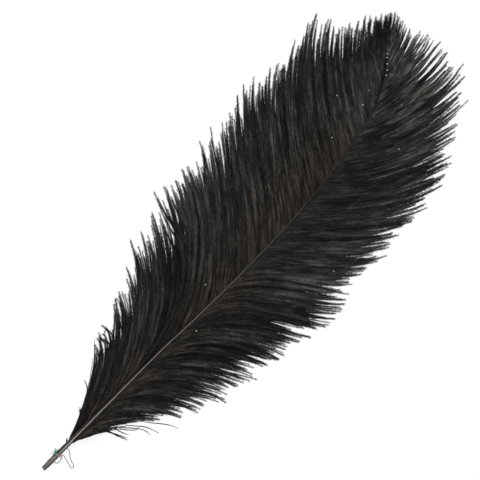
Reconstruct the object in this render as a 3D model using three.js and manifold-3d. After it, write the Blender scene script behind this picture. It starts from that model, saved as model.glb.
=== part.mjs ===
// An ostrich plume, dyed black, lying on a flat surface.
//
// Millimetres, +Z up. The shaft runs along +X from its cut end to the tuft at the tip, the left
// vane spreads towards +Y and the right vane towards -Y. The origin is under the middle of the
// feather, on the surface it lies on.
//
// The feather is one solid: a tapering shaft, and on each side a vane whose barbs hang together in
// locks. Each lock is a ridge that leaves the shaft, sweeps outward and ends in a free tip that
// rests on the surface. A knotted thread and the loose loops of a second one are left on the quill.

import * as THREE from "three";
import { mergeVertices } from "three/addons/utils/BufferGeometryUtils.js";
import Module from "manifold-3d";

const wasm = await Module();
wasm.setup();

// ---------------------------------------------------------------- driving dimensions

// The shaft's centre line, from the cut end of the quill to the end of the shaft in the tuft.
const SHAFT_LINE = [
  [0, 0.2, 1.5],
  [15, 0.3, 2.8],
  [60, 0.5, 6.2],
  [115, 0.7, 9.6],
  [150, -0.5, 11.3],
  [200, -0.9, 12.6],
  [260, 1.3, 12.2],
  [301, 6.6, 10.3],
  [337, 14.4, 7.8],
  [354, 22.8, 6.4],
  [369, 34.3, 5.0],
];

// The shaft's radius by distance along it: a bare quill, then a rachis that thins to the tip.
const SHAFT_RADIUS = [
  [0, 1.5],
  [8, 1.75],
  [28, 1.7],
  [60, 1.3],
  [150, 1.0],
  [250, 0.75],
  [377, 0.45],
];
const SHAFT_RINGS = 44;
const SHAFT_SIDES = 10;

// How the barbs lie in each vane, by distance along the shaft: the barb's length, and how far it
// points away from +X, in degrees, where it leaves the shaft, at its middle and at its tip.
const VANE_START = 27;
const LEFT_BARBS = [
  [27, 50, 26, 24, 50],
  [45, 76, 13, 29, 60],
  [70, 104, 8, 34, 65],
  [105, 119, 9, 37, 68],
  [130, 112, 17, 41, 66],
  [155, 103, 29, 46, 61],
  [180, 107, 39, 50, 55],
  [200, 109, 44, 52, 50],
  [230, 109, 49, 53, 42],
  [260, 103, 56, 52, 35],
  [278, 108, 60, 52, 35],
  [292, 98, 62, 52, 35],
  [320, 73, 60, 53, 36],
  [345, 57, 58, 50, 35],
  [360, 48, 55, 45, 35],
  [377, 31, 44, 40, 34],
];
const RIGHT_BARBS = [
  [27, 27, 30, 30, 36],
  [38, 46, 20, 36, 54],
  [50, 62, 14, 44, 66],
  [75, 76, 12, 45, 68],
  [105, 83, 13, 48, 68],
  [135, 85, 20, 52, 64],
  [160, 86, 23, 53, 51],
  [190, 84, 28, 51, 38],
  [220, 87, 38, 46, 28],
  [250, 91, 47, 37, 21],
  [280, 91, 45, 27, 12],
  [305, 87, 36, 17, 2],
  [325, 73, 20, 9, -5],
  [345, 54, 2, -4, -16],
  [362, 41, -12, -16, -24],
  [377, 26, -26, -30, -34],
];
const HEADING_STEPS = 12;

// The locks that the barbs hang together in. Each takes three columns of the vane.
const LOCKS_PER_SIDE = 31;
const LOCK_COLUMNS = 3;
const LOCK_STEPS = 7;
const NOTCH_DEPTH = 0.24;
const NOTCH_SHARPNESS = 3;
const CREST_AT_ROOT = 0.3;
const CREST_AT_TIP = 0.07;
const LENGTH_GAIN = 0.03;
const LENGTH_SPREAD = 0.05;
const TIP_LEAN = 0.3;

// The vane's section, from the shaft to the tips of the locks.
const VANE_ARCH = 3.0;
const ARCH_SPREAD = 1.2;
const TOUCH_DOWN_SHARE = 0.9;
const CREST_HEIGHT = 2.0;
const VALLEY_HEIGHT = 0.5;
const UNDERSIDE_DEPTH = 0.7;
const EDGE_THICKNESS = 0.7;
const ROOT_SHARE = 0.55;

// The thread tied round the quill, and the loose one beside it.
const TOUCHING_GAP = 0.3;
const KNOT_AT = 14.6;
const KNOT_WIDTH = 1.4;
const KNOT_THICKNESS = 0.6;
const KNOT_CROWN_SHARE = 0.6;
const KNOT_SIDES = 16;
const LOOSE_THREAD_DIAMETER = 0.5;
const LOOSE_THREAD_STEPS = 34;
const LOOSE_THREAD_SIDES = 8;
const LOOSE_THREAD_LINE = [
  [9.6, -0.6, 0.5],
  [9.1, -1.5, 0.32],
  [8.9, -2.5, 0.25],
  [9.3, -3.4, 0.25],
  [10.2, -4.0, 0.25],
  [11.4, -4.2, 0.25],
  [12.7, -4.0, 0.25],
  [13.7, -3.45, 0.25],
  [14.47, -2.77, 0.26],
  [15.19, -2.41, 0.27],
  [15.98, -2.57, 0.27],
  [16.5, -3.17, 0.27],
  [16.56, -3.97, 0.26],
  [16.34, -4.84, 0.25],
  [15.75, -6.9, 0.25],
  [15.15, -9.0, 0.25],
  [14.55, -11.0, 0.25],
  [14.19, -12.18, 0.25],
  [14.23, -12.93, 0.25],
  [14.68, -13.52, 0.25],
  [15.4, -13.75, 0.25],
  [16.12, -13.52, 0.25],
  [16.57, -12.93, 0.25],
  [16.86, -12.13, 0.25],
  [17.5, -10.1, 0.25],
  [18.7, -7.6, 0.25],
  [20.6, -5.2, 0.25],
  [21.7, -3.6, 0.28],
  [22.0, -2.2, 0.45],
  [21.5, -0.8, 0.9],
];

// ---------------------------------------------------------------- shared helpers

// A smooth value from rows of [position, value, ...], by one cubic between neighbouring rows.
function along(rows, position, column) {
  let i = 0;
  while (i < rows.length - 2 && position > rows[i + 1][0]) i += 1;
  const slope = (a, b) => (rows[b][column] - rows[a][column]) / (rows[b][0] - rows[a][0]);
  const last = rows.length - 1;
  const span = rows[i + 1][0] - rows[i][0];
  const startSlope = slope(Math.max(i - 1, 0), i + 1) * span;
  const endSlope = slope(i, Math.min(i + 2, last)) * span;
  const f = THREE.MathUtils.clamp((position - rows[i][0]) / span, 0, 1);
  const f2 = f * f;
  const f3 = f2 * f;
  return (
    rows[i][column] * (2 * f3 - 3 * f2 + 1) +
    startSlope * (f3 - 2 * f2 + f) +
    rows[i + 1][column] * (3 * f2 - 2 * f3) +
    endSlope * (f3 - f2)
  );
}

// A repeatable value from -1 to 1 for a lock and a property of it, so that no two are alike.
function wobble(lock, property) {
  const value = Math.sin(lock * 12.9898 + property * 78.233) * 43758.5453;
  return 2 * (value - Math.floor(value)) - 1;
}

// A geometry with its shared vertices merged, which is what a boolean needs.
function weld(geometry) {
  geometry.deleteAttribute("normal");
  geometry.deleteAttribute("uv");
  return mergeVertices(geometry);
}

function toSolid(geometry) {
  return new wasm.Manifold(
    new wasm.Mesh({
      numProp: 3,
      vertProperties: new Float32Array(geometry.attributes.position.array),
      triVerts: new Uint32Array(geometry.index.array),
    }),
  );
}

function toGeometry(solid) {
  const mesh = solid.getMesh();
  const geometry = new THREE.BufferGeometry();
  geometry.setAttribute("position", new THREE.BufferAttribute(mesh.vertProperties, 3));
  geometry.setIndex(new THREE.BufferAttribute(mesh.triVerts, 1));
  geometry.computeVertexNormals();
  return geometry;
}

// ---------------------------------------------------------------- shaft

const shaftCurve = new THREE.CatmullRomCurve3(SHAFT_LINE.map((p) => new THREE.Vector3(...p)));
const shaftLength = shaftCurve.getLength();

function shaftPoint(distance) {
  return shaftCurve.getPointAt(THREE.MathUtils.clamp(distance / shaftLength, 0, 1));
}

// The shaft's own directions at a distance along it: forward, to its left, and up.
function shaftFrame(distance) {
  const forward = shaftCurve.getTangentAt(THREE.MathUtils.clamp(distance / shaftLength, 0, 1));
  const left = new THREE.Vector3(0, 0, 1).cross(forward).normalize();
  const up = forward.clone().cross(left);
  return { forward, left, up };
}

// A straight tapering rod turned on a lathe, then laid along the shaft's curve.
function shaftGeometry() {
  const profile = [new THREE.Vector2(0, 0)];
  for (let i = 0; i <= SHAFT_RINGS; i += 1) {
    const distance = (shaftLength * i) / SHAFT_RINGS;
    profile.push(new THREE.Vector2(along(SHAFT_RADIUS, distance, 1), distance));
  }
  profile.push(new THREE.Vector2(0, shaftLength));
  const rod = weld(new THREE.LatheGeometry(profile, SHAFT_SIDES));
  const position = rod.attributes.position;
  for (let i = 0; i < position.count; i += 1) {
    const distance = position.getY(i);
    const { left, up } = shaftFrame(distance);
    const place = shaftPoint(distance)
      .addScaledVector(up, position.getX(i))
      .addScaledVector(left, position.getZ(i));
    position.setXYZ(i, place.x, place.y, place.z);
  }
  return rod;
}

// ---------------------------------------------------------------- vanes

// A point on the barb that leaves the shaft at a distance along it, at a share of its length. It
// arches over from the shaft and touches down shortly before its tip.
function barbPoint(side, distance, share, stretch, arch) {
  const rows = side > 0 ? LEFT_BARBS : RIGHT_BARBS;
  const length = along(rows, distance, 1) * stretch;
  const atRoot = along(rows, distance, 2);
  const atMiddle = along(rows, distance, 3);
  const atTip = along(rows, distance, 4);
  const point = shaftPoint(distance);
  for (let i = 0; i < HEADING_STEPS; i += 1) {
    const t = (share * (i + 0.5)) / HEADING_STEPS;
    const degrees =
      atRoot * (1 - t) * (1 - 2 * t) + atMiddle * 4 * t * (1 - t) + atTip * t * (2 * t - 1);
    const heading = THREE.MathUtils.degToRad(degrees) * side;
    const step = (length * share) / HEADING_STEPS;
    point.x += Math.cos(heading) * step;
    point.y += Math.sin(heading) * step;
  }
  const fall = Math.min(share / TOUCH_DOWN_SHARE, 1);
  point.z *= 0.5 + 0.5 * Math.cos(Math.PI * fall);
  point.z += arch * 4 * fall * (1 - fall);
  return point;
}

// What wobble varies from lock to lock. The side, -1 or 1, is added to each.
const LEAN = 0;
const LENGTH = 3;
const ARCH = 7;

// One vane: a slab bent over the barbs. A lock's columns are the valley before it and the two
// sides of its crest. The slab's outer edge is notched at the valleys, so each crest ends in a
// free tip, and its inner edge lies inside the shaft.
function vaneGeometry(side) {
  const columns = LOCK_COLUMNS * LOCKS_PER_SIDE;
  const pitch = (shaftLength - VANE_START) / LOCKS_PER_SIDE;
  const slab = weld(new THREE.BoxGeometry(1, 1, 1, LOCK_STEPS, columns, 1));
  const position = slab.attributes.position;
  for (let i = 0; i < position.count; i += 1) {
    const step = position.getX(i) + 0.5;
    const column = Math.round((0.5 - side * position.getY(i)) * columns);
    const isTop = position.getZ(i) > 0;
    const lock = Math.floor(column / LOCK_COLUMNS);
    const columnOfLock = column % LOCK_COLUMNS;
    const isValley = columnOfLock === 0;

    const crest = THREE.MathUtils.lerp(CREST_AT_ROOT, CREST_AT_TIP, step);
    const acrossCrest = columnOfLock === 1 ? -crest : crest;
    const lean = TIP_LEAN * wobble(lock, LEAN + side) * step * step;
    const place = isValley ? lock : lock + 0.5 + acrossCrest + lean;
    const distance = Math.min(VANE_START + pitch * place, shaftLength);
    const share = isValley ? step * (1 - NOTCH_DEPTH * step ** NOTCH_SHARPNESS) : step;
    const crestStretch = 1 + LENGTH_GAIN + LENGTH_SPREAD * wobble(lock, LENGTH + side);
    const stretch = isValley ? 1 : crestStretch;
    const arch = VANE_ARCH + (isValley ? 0 : ARCH_SPREAD * wobble(lock, ARCH + side));
    const point = barbPoint(side, distance, share, stretch, arch);

    const inShaft = along(SHAFT_RADIUS, distance, 1) * ROOT_SHARE;
    const swell = Math.sqrt(Math.sin(Math.PI * step));
    const height = isValley ? VALLEY_HEIGHT : CREST_HEIGHT;
    const above = THREE.MathUtils.lerp(step < 0.5 ? inShaft : EDGE_THICKNESS, height, swell);
    const below = THREE.MathUtils.lerp(step < 0.5 ? inShaft : 0, UNDERSIDE_DEPTH, swell);
    const underside = Math.max(point.z - below, 0);
    const upperSide = Math.max(point.z + above, underside + EDGE_THICKNESS);
    position.setXYZ(i, point.x, point.y, isTop ? upperSide : underside);
  }
  return slab;
}

function feather() {
  const solid = toSolid(shaftGeometry()).add(toSolid(vaneGeometry(1))).add(toSolid(vaneGeometry(-1)));
  const material = new THREE.MeshStandardMaterial({ color: 0x1c1a19, roughness: 0.75, metalness: 0 });
  return namedMesh("feather", toGeometry(solid), material);
}

// ---------------------------------------------------------------- threads

// The knotted thread: a band of a few turns, closed round the quill.
function knottedThread() {
  const inner = along(SHAFT_RADIUS, KNOT_AT, 1) + TOUCHING_GAP;
  const outer = inner + KNOT_THICKNESS;
  const half = KNOT_WIDTH / 2;
  const profile = [
    new THREE.Vector2(inner, -half),
    new THREE.Vector2(outer, -half * KNOT_CROWN_SHARE),
    new THREE.Vector2(outer, half * KNOT_CROWN_SHARE),
    new THREE.Vector2(inner, half),
    new THREE.Vector2(inner, -half),
  ];
  const band = new THREE.LatheGeometry(profile, KNOT_SIDES);
  const material = new THREE.MeshStandardMaterial({ color: 0x2f7358, roughness: 0.8, metalness: 0 });
  const mesh = namedMesh("knotted_thread", band, material);
  mesh.position.copy(shaftPoint(KNOT_AT));
  mesh.quaternion.setFromUnitVectors(new THREE.Vector3(0, 1, 0), shaftFrame(KNOT_AT).forward);
  return mesh;
}

// The loose thread: two loops that lie on the surface beside the quill.
function looseThread() {
  const route = new THREE.CatmullRomCurve3(LOOSE_THREAD_LINE.map((p) => new THREE.Vector3(...p)));
  const section = new THREE.Shape();
  for (let i = 0; i <= LOOSE_THREAD_SIDES; i += 1) {
    const angle = (2 * Math.PI * i) / LOOSE_THREAD_SIDES;
    const x = (Math.cos(angle) * LOOSE_THREAD_DIAMETER) / 2;
    const y = (Math.sin(angle) * LOOSE_THREAD_DIAMETER) / 2;
    if (i === 0) section.moveTo(x, y);
    else section.lineTo(x, y);
  }
  const tube = new THREE.ExtrudeGeometry(section, {
    extrudePath: route,
    steps: LOOSE_THREAD_STEPS,
    curveSegments: 1,
  });
  const material = new THREE.MeshStandardMaterial({ color: 0x8c8a88, roughness: 0.8, metalness: 0 });
  return namedMesh("loose_thread", tube, material);
}

// ---------------------------------------------------------------- the object

function namedMesh(name, geometry, material) {
  const mesh = new THREE.Mesh(geometry, material);
  mesh.name = name;
  return mesh;
}

const plume = feather();
const group = new THREE.Group();
group.add(plume, knottedThread(), looseThread());

// The origin goes under the middle of the feather.
const box = new THREE.Box3().setFromObject(plume);
const middle = box.getCenter(new THREE.Vector3());
group.position.set(-middle.x, -middle.y, -box.min.z);

export default group;
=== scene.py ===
# %% [markdown]
# # An ostrich plume
# A plume is one grown piece: a bare quill, a shaft that thins towards the tip, and on each side of
# it a vane of several hundred soft barbs. Each barb carries two rows of fine barbules that don't
# hook together, so the barbs hang loose and gather in locks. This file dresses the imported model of
# such a plume, which holds its size and its main shapes.
#
# First the frame is loaded. It gives the box that everything here has to stay in, and the places
# that the quill and the threads keep.

import bpy
import numpy as np
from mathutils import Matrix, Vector


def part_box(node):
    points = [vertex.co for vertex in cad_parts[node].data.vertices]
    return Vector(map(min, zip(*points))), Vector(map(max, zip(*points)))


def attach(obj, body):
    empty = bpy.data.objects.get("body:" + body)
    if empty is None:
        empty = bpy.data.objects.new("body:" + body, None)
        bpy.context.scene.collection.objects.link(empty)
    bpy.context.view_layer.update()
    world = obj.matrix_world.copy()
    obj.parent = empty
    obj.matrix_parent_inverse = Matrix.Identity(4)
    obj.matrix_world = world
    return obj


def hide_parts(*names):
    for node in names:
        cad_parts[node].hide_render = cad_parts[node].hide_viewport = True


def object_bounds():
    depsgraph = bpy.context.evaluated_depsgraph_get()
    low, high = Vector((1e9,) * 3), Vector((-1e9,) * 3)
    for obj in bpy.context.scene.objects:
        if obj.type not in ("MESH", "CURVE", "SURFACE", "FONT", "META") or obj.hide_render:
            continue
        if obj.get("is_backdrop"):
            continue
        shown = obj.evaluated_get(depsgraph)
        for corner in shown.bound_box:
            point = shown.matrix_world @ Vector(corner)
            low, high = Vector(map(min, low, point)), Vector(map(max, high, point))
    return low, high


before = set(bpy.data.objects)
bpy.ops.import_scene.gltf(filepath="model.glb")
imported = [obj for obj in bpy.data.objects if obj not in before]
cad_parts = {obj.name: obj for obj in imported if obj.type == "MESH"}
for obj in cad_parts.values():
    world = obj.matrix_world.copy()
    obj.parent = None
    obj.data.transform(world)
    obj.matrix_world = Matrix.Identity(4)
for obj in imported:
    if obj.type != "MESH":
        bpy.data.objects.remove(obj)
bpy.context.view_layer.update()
MM = 0.001

# %% [markdown]
# ## The shaft's line
# Everything on a feather is placed by its distance along the shaft, so the shaft's centre line
# comes first, in millimetres from the cut end of the quill. A curve through eleven chosen points is
# enough. The centripetal form of the Catmull-Rom curve is used because it passes through every
# point and never loops between two that are close together.

# %% Shaft line
SHAFT_LINE = [
    (0, 0.2, 1.5), (15, 0.3, 2.8), (60, 0.5, 6.2), (115, 0.7, 9.6), (150, -0.5, 11.3),
    (200, -0.9, 12.6), (260, 1.3, 12.2), (301, 6.6, 10.3), (337, 14.4, 7.8), (354, 22.8, 6.4),
    (369, 34.3, 5.0),
]
SHAFT_RADIUS = [(0, 1.6), (9, 1.92), (30, 1.7), (60, 1.3), (150, 1.0), (250, 0.75), (377, 0.45)]
KNOT_AT = 14.6


def smooth_line(points, steps=24):
    """Points on a centripetal Catmull-Rom curve through the given ones."""
    points = np.array(points, float)
    padded = np.vstack([2 * points[0] - points[1], points, 2 * points[-1] - points[-2]])
    f = np.linspace(0, 1, steps, endpoint=False)[:, None]
    line = []
    for p0, p1, p2, p3 in zip(padded, padded[1:], padded[2:], padded[3:]):
        a, b, c = (np.sqrt(np.linalg.norm(q - p)) for p, q in ((p0, p1), (p1, p2), (p2, p3)))
        start = b * ((p1 - p0) / a - (p2 - p0) / (a + b) + (p2 - p1) / b)
        end = b * ((p2 - p1) / b - (p3 - p1) / (b + c) + (p3 - p2) / c)
        line.append(
            p1 * (2 * f**3 - 3 * f**2 + 1) + start * (f**3 - 2 * f**2 + f)
            + p2 * (3 * f**2 - 2 * f**3) + end * (f**3 - f**2)
        )
    return np.vstack([*line, points[-1:]])


def distances_of(line):
    """How far along the line each of its points is."""
    return np.concatenate([[0], np.cumsum(np.linalg.norm(np.diff(line, axis=0), axis=1))])


shaft_line = smooth_line(SHAFT_LINE)
shaft_distances = distances_of(shaft_line)
SHAFT_LENGTH = shaft_distances[-1]


def shaft_point(distance):
    """The point of the shaft's centre line at each distance from the cut end."""
    return np.stack(
        [np.interp(distance, shaft_distances, shaft_line[:, k]) for k in range(3)], axis=-1
    )


def unit(vectors):
    """The directions of the vectors, each of length one."""
    return vectors / np.maximum(np.linalg.norm(vectors, axis=-1, keepdims=True), 1e-12)


def shaft_axes(distance):
    """The shaft's own directions: forward, to its left, and up."""
    step = 1.0
    forward = unit(shaft_point(distance + step) - shaft_point(distance - step))
    left = unit(np.cross([0, 0, 1], forward))
    return forward, left, np.cross(forward, left)


ring_low, ring_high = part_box("knotted_thread")
SHIFT = np.array((ring_low + ring_high) / 2) / MM - shaft_point(np.array(KNOT_AT))


def to_row(points):
    """Millimetres from the cut end of the quill, to metres in the model's own frame."""
    return (points + SHIFT) * MM


print("shaft length in mm:", round(SHAFT_LENGTH, 1), " shift in mm:", SHIFT.round(2))

# %% [markdown]
# ## How the barbs lie
# Each vane is thought of as a sheet that has been combed: one row of it is the path that a barb
# takes. A row is set by its length and by how far it points away from the shaft where it leaves,
# at its middle and at its tip. A few such rows are blended into all the others.
# Barbs near the quill hug the shaft and then sweep out; those near the tip point almost forward.

# %% The combed sheet
VANE_START = 27.0
# Each row: distance along the shaft, length, and degrees off the shaft at the root, middle and tip.
LEFT_BARBS = [
    (27, 59, 26, 28, 52), (45, 89, 13, 31, 59), (70, 111, 8, 35, 63), (105, 122, 9, 38, 65),
    (130, 112, 17, 41, 64), (155, 101, 29, 46, 60), (180, 106, 39, 50, 54), (200, 108, 44, 52, 49),
    (230, 107, 49, 53, 42), (260, 102, 56, 52, 35), (278, 108, 60, 52, 35), (292, 98, 62, 52, 35),
    (320, 73, 60, 53, 36), (345, 58, 58, 50, 35), (360, 46, 55, 45, 35), (377, 30, 38, 35, 31),
]
RIGHT_BARBS = [
    (27, 27, 30, 30, 36), (38, 48, 20, 36, 54), (50, 66, 14, 44, 66), (75, 80, 12, 45, 68),
    (105, 85, 13, 48, 68), (135, 86, 20, 52, 64), (160, 86, 23, 53, 51), (190, 84, 28, 51, 38),
    (220, 88, 38, 46, 28), (250, 93, 47, 37, 21), (280, 95, 45, 27, 12), (305, 92, 36, 17, 2),
    (325, 78, 20, 9, -5), (345, 59, 2, -4, -16), (364, 38, -14, -18, -24), (377, 30, -32, -32, -33),
]
TOUCH_DOWN_SHARE = 0.9
SHEET_ROWS = 260
SHEET_STEPS = 64
SHEET_REACH = 1.35
SHEET_MARGIN = 14.0


def along(rows, position, column=1):
    """A smooth value at each position, from rows of (position, value, ...)."""
    rows = np.array(rows, float)
    at, value = rows[:, 0], rows[:, column]
    i = np.clip(np.searchsorted(at, position, side="right") - 1, 0, len(at) - 2)
    before, after = np.maximum(i - 1, 0), np.minimum(i + 2, len(at) - 1)
    span = at[i + 1] - at[i]
    start = (value[i + 1] - value[before]) / (at[i + 1] - at[before]) * span
    end = (value[after] - value[i]) / (at[after] - at[i]) * span
    f = np.clip((position - at[i]) / span, 0, 1)
    return (
        value[i] * (2 * f**3 - 3 * f**2 + 1) + start * (f**3 - 2 * f**2 + f)
        + value[i + 1] * (3 * f**2 - 2 * f**3) + end * (f**3 - f**2)
    )


def comb_sheet(side):
    """The plan of one vane: x and y by distance along the shaft and share along the barb."""
    rows = LEFT_BARBS if side > 0 else RIGHT_BARBS
    distance = np.linspace(VANE_START - SHEET_MARGIN, SHAFT_LENGTH + SHEET_MARGIN, SHEET_ROWS)
    share = np.linspace(0, SHEET_REACH, SHEET_STEPS)
    t = (share[1:] + share[:-1])[None] / 2
    root, middle, tip = (along(rows, distance, c)[:, None] for c in (2, 3, 4))
    degrees = root * (1 - t) * (1 - 2 * t) + middle * 4 * t * (1 - t) + tip * t * (2 * t - 1)
    heading = np.radians(degrees) * side
    step = along(rows, distance, 1)[:, None] * np.diff(share)[None]
    moves = np.stack([np.cos(heading) * step, np.sin(heading) * step], axis=-1)
    start = np.zeros((SHEET_ROWS, 1, 2))
    plan = np.concatenate([start, np.cumsum(moves, axis=1)], axis=1)
    on_shaft = np.minimum(distance, SHAFT_LENGTH)
    past_the_end = (distance - on_shaft)[:, None] * shaft_axes(SHAFT_LENGTH - 1)[0]
    return plan + (shaft_point(on_shaft) + past_the_end)[:, None, :2]


sheets = {side: comb_sheet(side) for side in (1, -1)}


def on_sheet(side, distance, share):
    """Points on a combed sheet, with the height at which a barb arches over and comes down."""
    sheet = sheets[side]
    combed = SHAFT_LENGTH - VANE_START + 2 * SHEET_MARGIN
    row = np.clip((distance - VANE_START + SHEET_MARGIN) / combed, 0, 1) * (SHEET_ROWS - 1)
    step = np.clip(share / SHEET_REACH, 0, 1) * (SHEET_STEPS - 1)
    r = np.minimum(row.astype(int), SHEET_ROWS - 2)
    s = np.minimum(step.astype(int), SHEET_STEPS - 2)
    fr, fs = (row - r)[..., None], (step - s)[..., None]
    plan = (
        (sheet[r, s] * (1 - fs) + sheet[r, s + 1] * fs) * (1 - fr)
        + (sheet[r + 1, s] * (1 - fs) + sheet[r + 1, s + 1] * fs) * fr
    )
    fall = np.clip(share / TOUCH_DOWN_SHARE, 0, 1)
    height = shaft_point(distance)[..., 2] * (0.5 + 0.5 * np.cos(np.pi * fall))
    return np.concatenate([plan, height[..., None]], axis=-1), fall


print("left sheet reaches y =", round(float(sheets[1][..., 1].max()), 1), "mm at full comb")

# %% [markdown]
# ## Meshes from numbers
# About nine hundred thousand triangles are too many for modelling operators, so each piece is
# written into its mesh in one go from arrays. The faces are quads and triangles, apart from the
# ends of the tubes. Each point also keeps two numbers that the materials read: its fade, which is
# mostly how far along its own strand it lies, and a tone that makes one strand a little lighter
# than the next and also carries painted shade and painted highlights. A map lays the strands side
# by side in rows.

# %% Mesh helpers
MAP_MARGIN = 0.02


def smoothstep(low, high, x):
    """A smooth rise from 0 at the low end to 1 at the high end."""
    t = np.clip((x - low) / (high - low), 0, 1)
    return t * t * (3 - 2 * t)


def join_parts(parts):
    """Joins (points, faces, along, tone, row) parts, with each part's faces renumbered."""
    offset = 0
    faces = []
    for points, part_faces, *_ in parts:
        faces += [f + offset for f in part_faces]
        offset += len(points)
    points, alongs, tones, rows = (
        np.concatenate([p[k] for p in parts]) for k in (0, 2, 3, 4)
    )
    return points, faces, alongs, tones, rows


def make_piece(name, points, faces, alongs, tones, rows, smooth=True, fades=None):
    """A mesh object from points in mm, and one array of faces for each number of corners."""
    mesh = bpy.data.meshes.new(name)
    corners = np.concatenate([f.ravel() for f in faces]).astype(np.int32)
    sizes = np.concatenate([np.full(len(f), f.shape[1]) for f in faces])
    starts = np.concatenate([[0], np.cumsum(sizes)[:-1]]).astype(np.int32)
    mesh.vertices.add(len(points))
    mesh.vertices.foreach_set("co", to_row(points).ravel())
    mesh.loops.add(len(corners))
    mesh.loops.foreach_set("vertex_index", corners)
    mesh.polygons.add(len(starts))
    mesh.polygons.foreach_set("loop_start", starts)
    mesh.polygons.foreach_set("use_smooth", np.full(len(starts), smooth))
    fades = alongs if fades is None else fades
    for label, values in (("fade", fades), ("tone", tones)):
        layer = mesh.attributes.new(label, "FLOAT", "POINT")
        layer.data.foreach_set("value", np.asarray(values, np.float32))
    strand_map = mesh.uv_layers.new(name="OFBake")
    places = np.stack([MAP_MARGIN + (1 - 2 * MAP_MARGIN) * alongs, rows], axis=-1)[corners]
    strand_map.data.foreach_set("uv", places.astype(np.float32).ravel())
    mesh.update(calc_edges=True)
    mesh.validate()
    piece = bpy.data.objects.new(name, mesh)
    bpy.context.scene.collection.objects.link(piece)
    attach(piece, "root")
    print(name, "has", len(mesh.vertices), "points and", int((sizes - 2).sum()), "triangles")
    return piece

# %% [markdown]
# ## Laying the barbs
# Each vane has two coats of barbs, one on top of the other. In a coat they leave the shaft a little
# over a millimetre apart. On the way out neighbours lean together. A strand is one to four barbs, a
# wisp is four to eight that end in one ragged point, and a lock is a loose band of them about a
# centimetre wide. Each wisp has its own length and lean, so that the margin is a fringe of points
# that overlap. Inside a wisp and a lock the middle lies highest, which gives a plume its soft ribs.
#
# Each barb could be combed by hand as a curve, but there are over a thousand. Here every group
# draws random values of its own, which all its barbs share. The draws start from a seed, so each
# run lays the same barbs.

# %% Strands, wisps and locks
COATS = 2
BARBS_PER_COAT = 300
BARB_POINTS = 22
ROOT_SCATTER = (0.1, 0.9)
# The fewest barbs in a group, and one more than the most.
GROUP_SIZES = {"lock": (7, 14), "wisp": (4, 9), "strand": (1, 5)}
# How far the draws of each kind of group may go: millimetres for bow, lean, tip lean, wave, layer
# and arch, radians for wave turns, wave start and tilt, and shares or factors for the rest.
SPREAD = {
    "loose": {"each": (0, 1)},
    "point": {"wisp": (0.05, 0.2)},
    "reach": {"wisp": (0.96, 1.08), "strand": (-0.05, 0.04), "each": (0.96, 1.02)},
    "gather": {"wisp": (-0.08, 0.08)},
    "close": {"strand": (0.5, 0.95), "wisp": (0.2, 0.8)},
    "bow": {"wisp": (-1.3, 1.3), "strand": (-0.7, 0.7), "each": (-0.4, 0.4)},
    "lean": {"wisp": (-2.5, 2.5), "strand": (-1.0, 1.0)},
    "tip lean": {"each": (-3, 3), "strand": (-1.2, 1.2)},
    "wave": {"strand": (0.1, 0.9)},
    "wave turns": {"strand": (4, 13)},
    "wave start": {"strand": (0, 6.3)},
    "sway": {"lock": (-1, 1)},
    "layer": {"wisp": (-0.8, 0.8), "strand": (-0.7, 0.7), "each": (-0.3, 0.3)},
    "arch": {"lock": (-1.0, 1.0)},
    "tilt": {"each": (-0.2, 0.2)},
}
SHARE = np.linspace(0, 1, BARB_POINTS)[None]
SWELL = np.sin(np.pi * SHARE) ** 0.6


def group_neighbours(rng, count, sizes):
    """Puts neighbours in groups: each one's group, and where it stands in it, from -1 to 1."""
    ends = np.cumsum(rng.integers(*sizes, count))
    group = np.searchsorted(ends, np.arange(count), side="right")
    first = np.concatenate([[0], ends])[group]
    size = np.minimum(ends[group], count) - first
    place = (np.arange(count) - first + 0.5) / size * 2 - 1
    return group, place


class Coat:
    """The barbs of one coat, the groups that they hang in, and the values that a group shares."""

    def __init__(self, side, layer, rng):
        count = BARBS_PER_COAT
        place = (np.arange(count) + (layer + rng.uniform(*ROOT_SCATTER, count)) / COATS) / count
        self.side, self.layer, self.rng = side, layer, rng
        self.root = VANE_START + (SHAFT_LENGTH - VANE_START) * place
        self.group, self.place = {"each": np.arange(count)}, {}
        for kind, sizes in GROUP_SIZES.items():
            self.group[kind], in_group = group_neighbours(rng, count, sizes)
            self.place[kind] = in_group[:, None]

    def along(self, left_rows, right_rows, column=1):
        """A value from the rows of this coat's side, at the root of each barb."""
        return along(left_rows if self.side > 0 else right_rows, self.root, column)[:, None]

    def draw(self, what, kind):
        """One random value for each group of a kind, which all its barbs share."""
        group = self.group[kind]
        return self.rng.uniform(*SPREAD[what][kind], group.max() + 1)[group][:, None]

    def drift(self, kind, knots):
        """A value from 0 to 1 that wanders along the barbs of each group."""
        group = self.group[kind]
        beads = self.rng.uniform(0, 1, (group.max() + 1, knots + 1))
        bead = np.minimum((SHARE[0] * knots).astype(int), knots - 1)
        f = SHARE[0] * knots - bead
        return (beads[:, bead] * (1 - f) + beads[:, bead + 1] * f)[group]

    def middle(self, kind):
        """The middle of the roots in each barb's group."""
        group = self.group[kind]
        return (np.bincount(group, self.root) / np.maximum(np.bincount(group), 1))[group][:, None]

# %% [markdown]
# ## Tufts, a slipped lock and a hollow
# Near the margin both coats also share tufts a few millimetres wide. Where tufts take over from the
# wisps, slits open between them and the vane ends in fingers. Tufts have a random generator of
# their own, which each coat starts afresh, so that the two coats agree on them. On the left vane
# one lock of the upper coat has slipped and crosses over its neighbours, and the lower coat is
# painted darker, a painted shade, where it has left a hollow.

# %% Tufts
TUFT_SEED = 40
TUFT_WIDTH = (1.8, 4.0)
MOST_TUFTS = 300
TUFT_CLOSE = 0.92
TUFT_LEAN = 1.3
TUFT_REACH = 0.05
TUFT_START = 0.08
LEAN_LOST = 0.5
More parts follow.
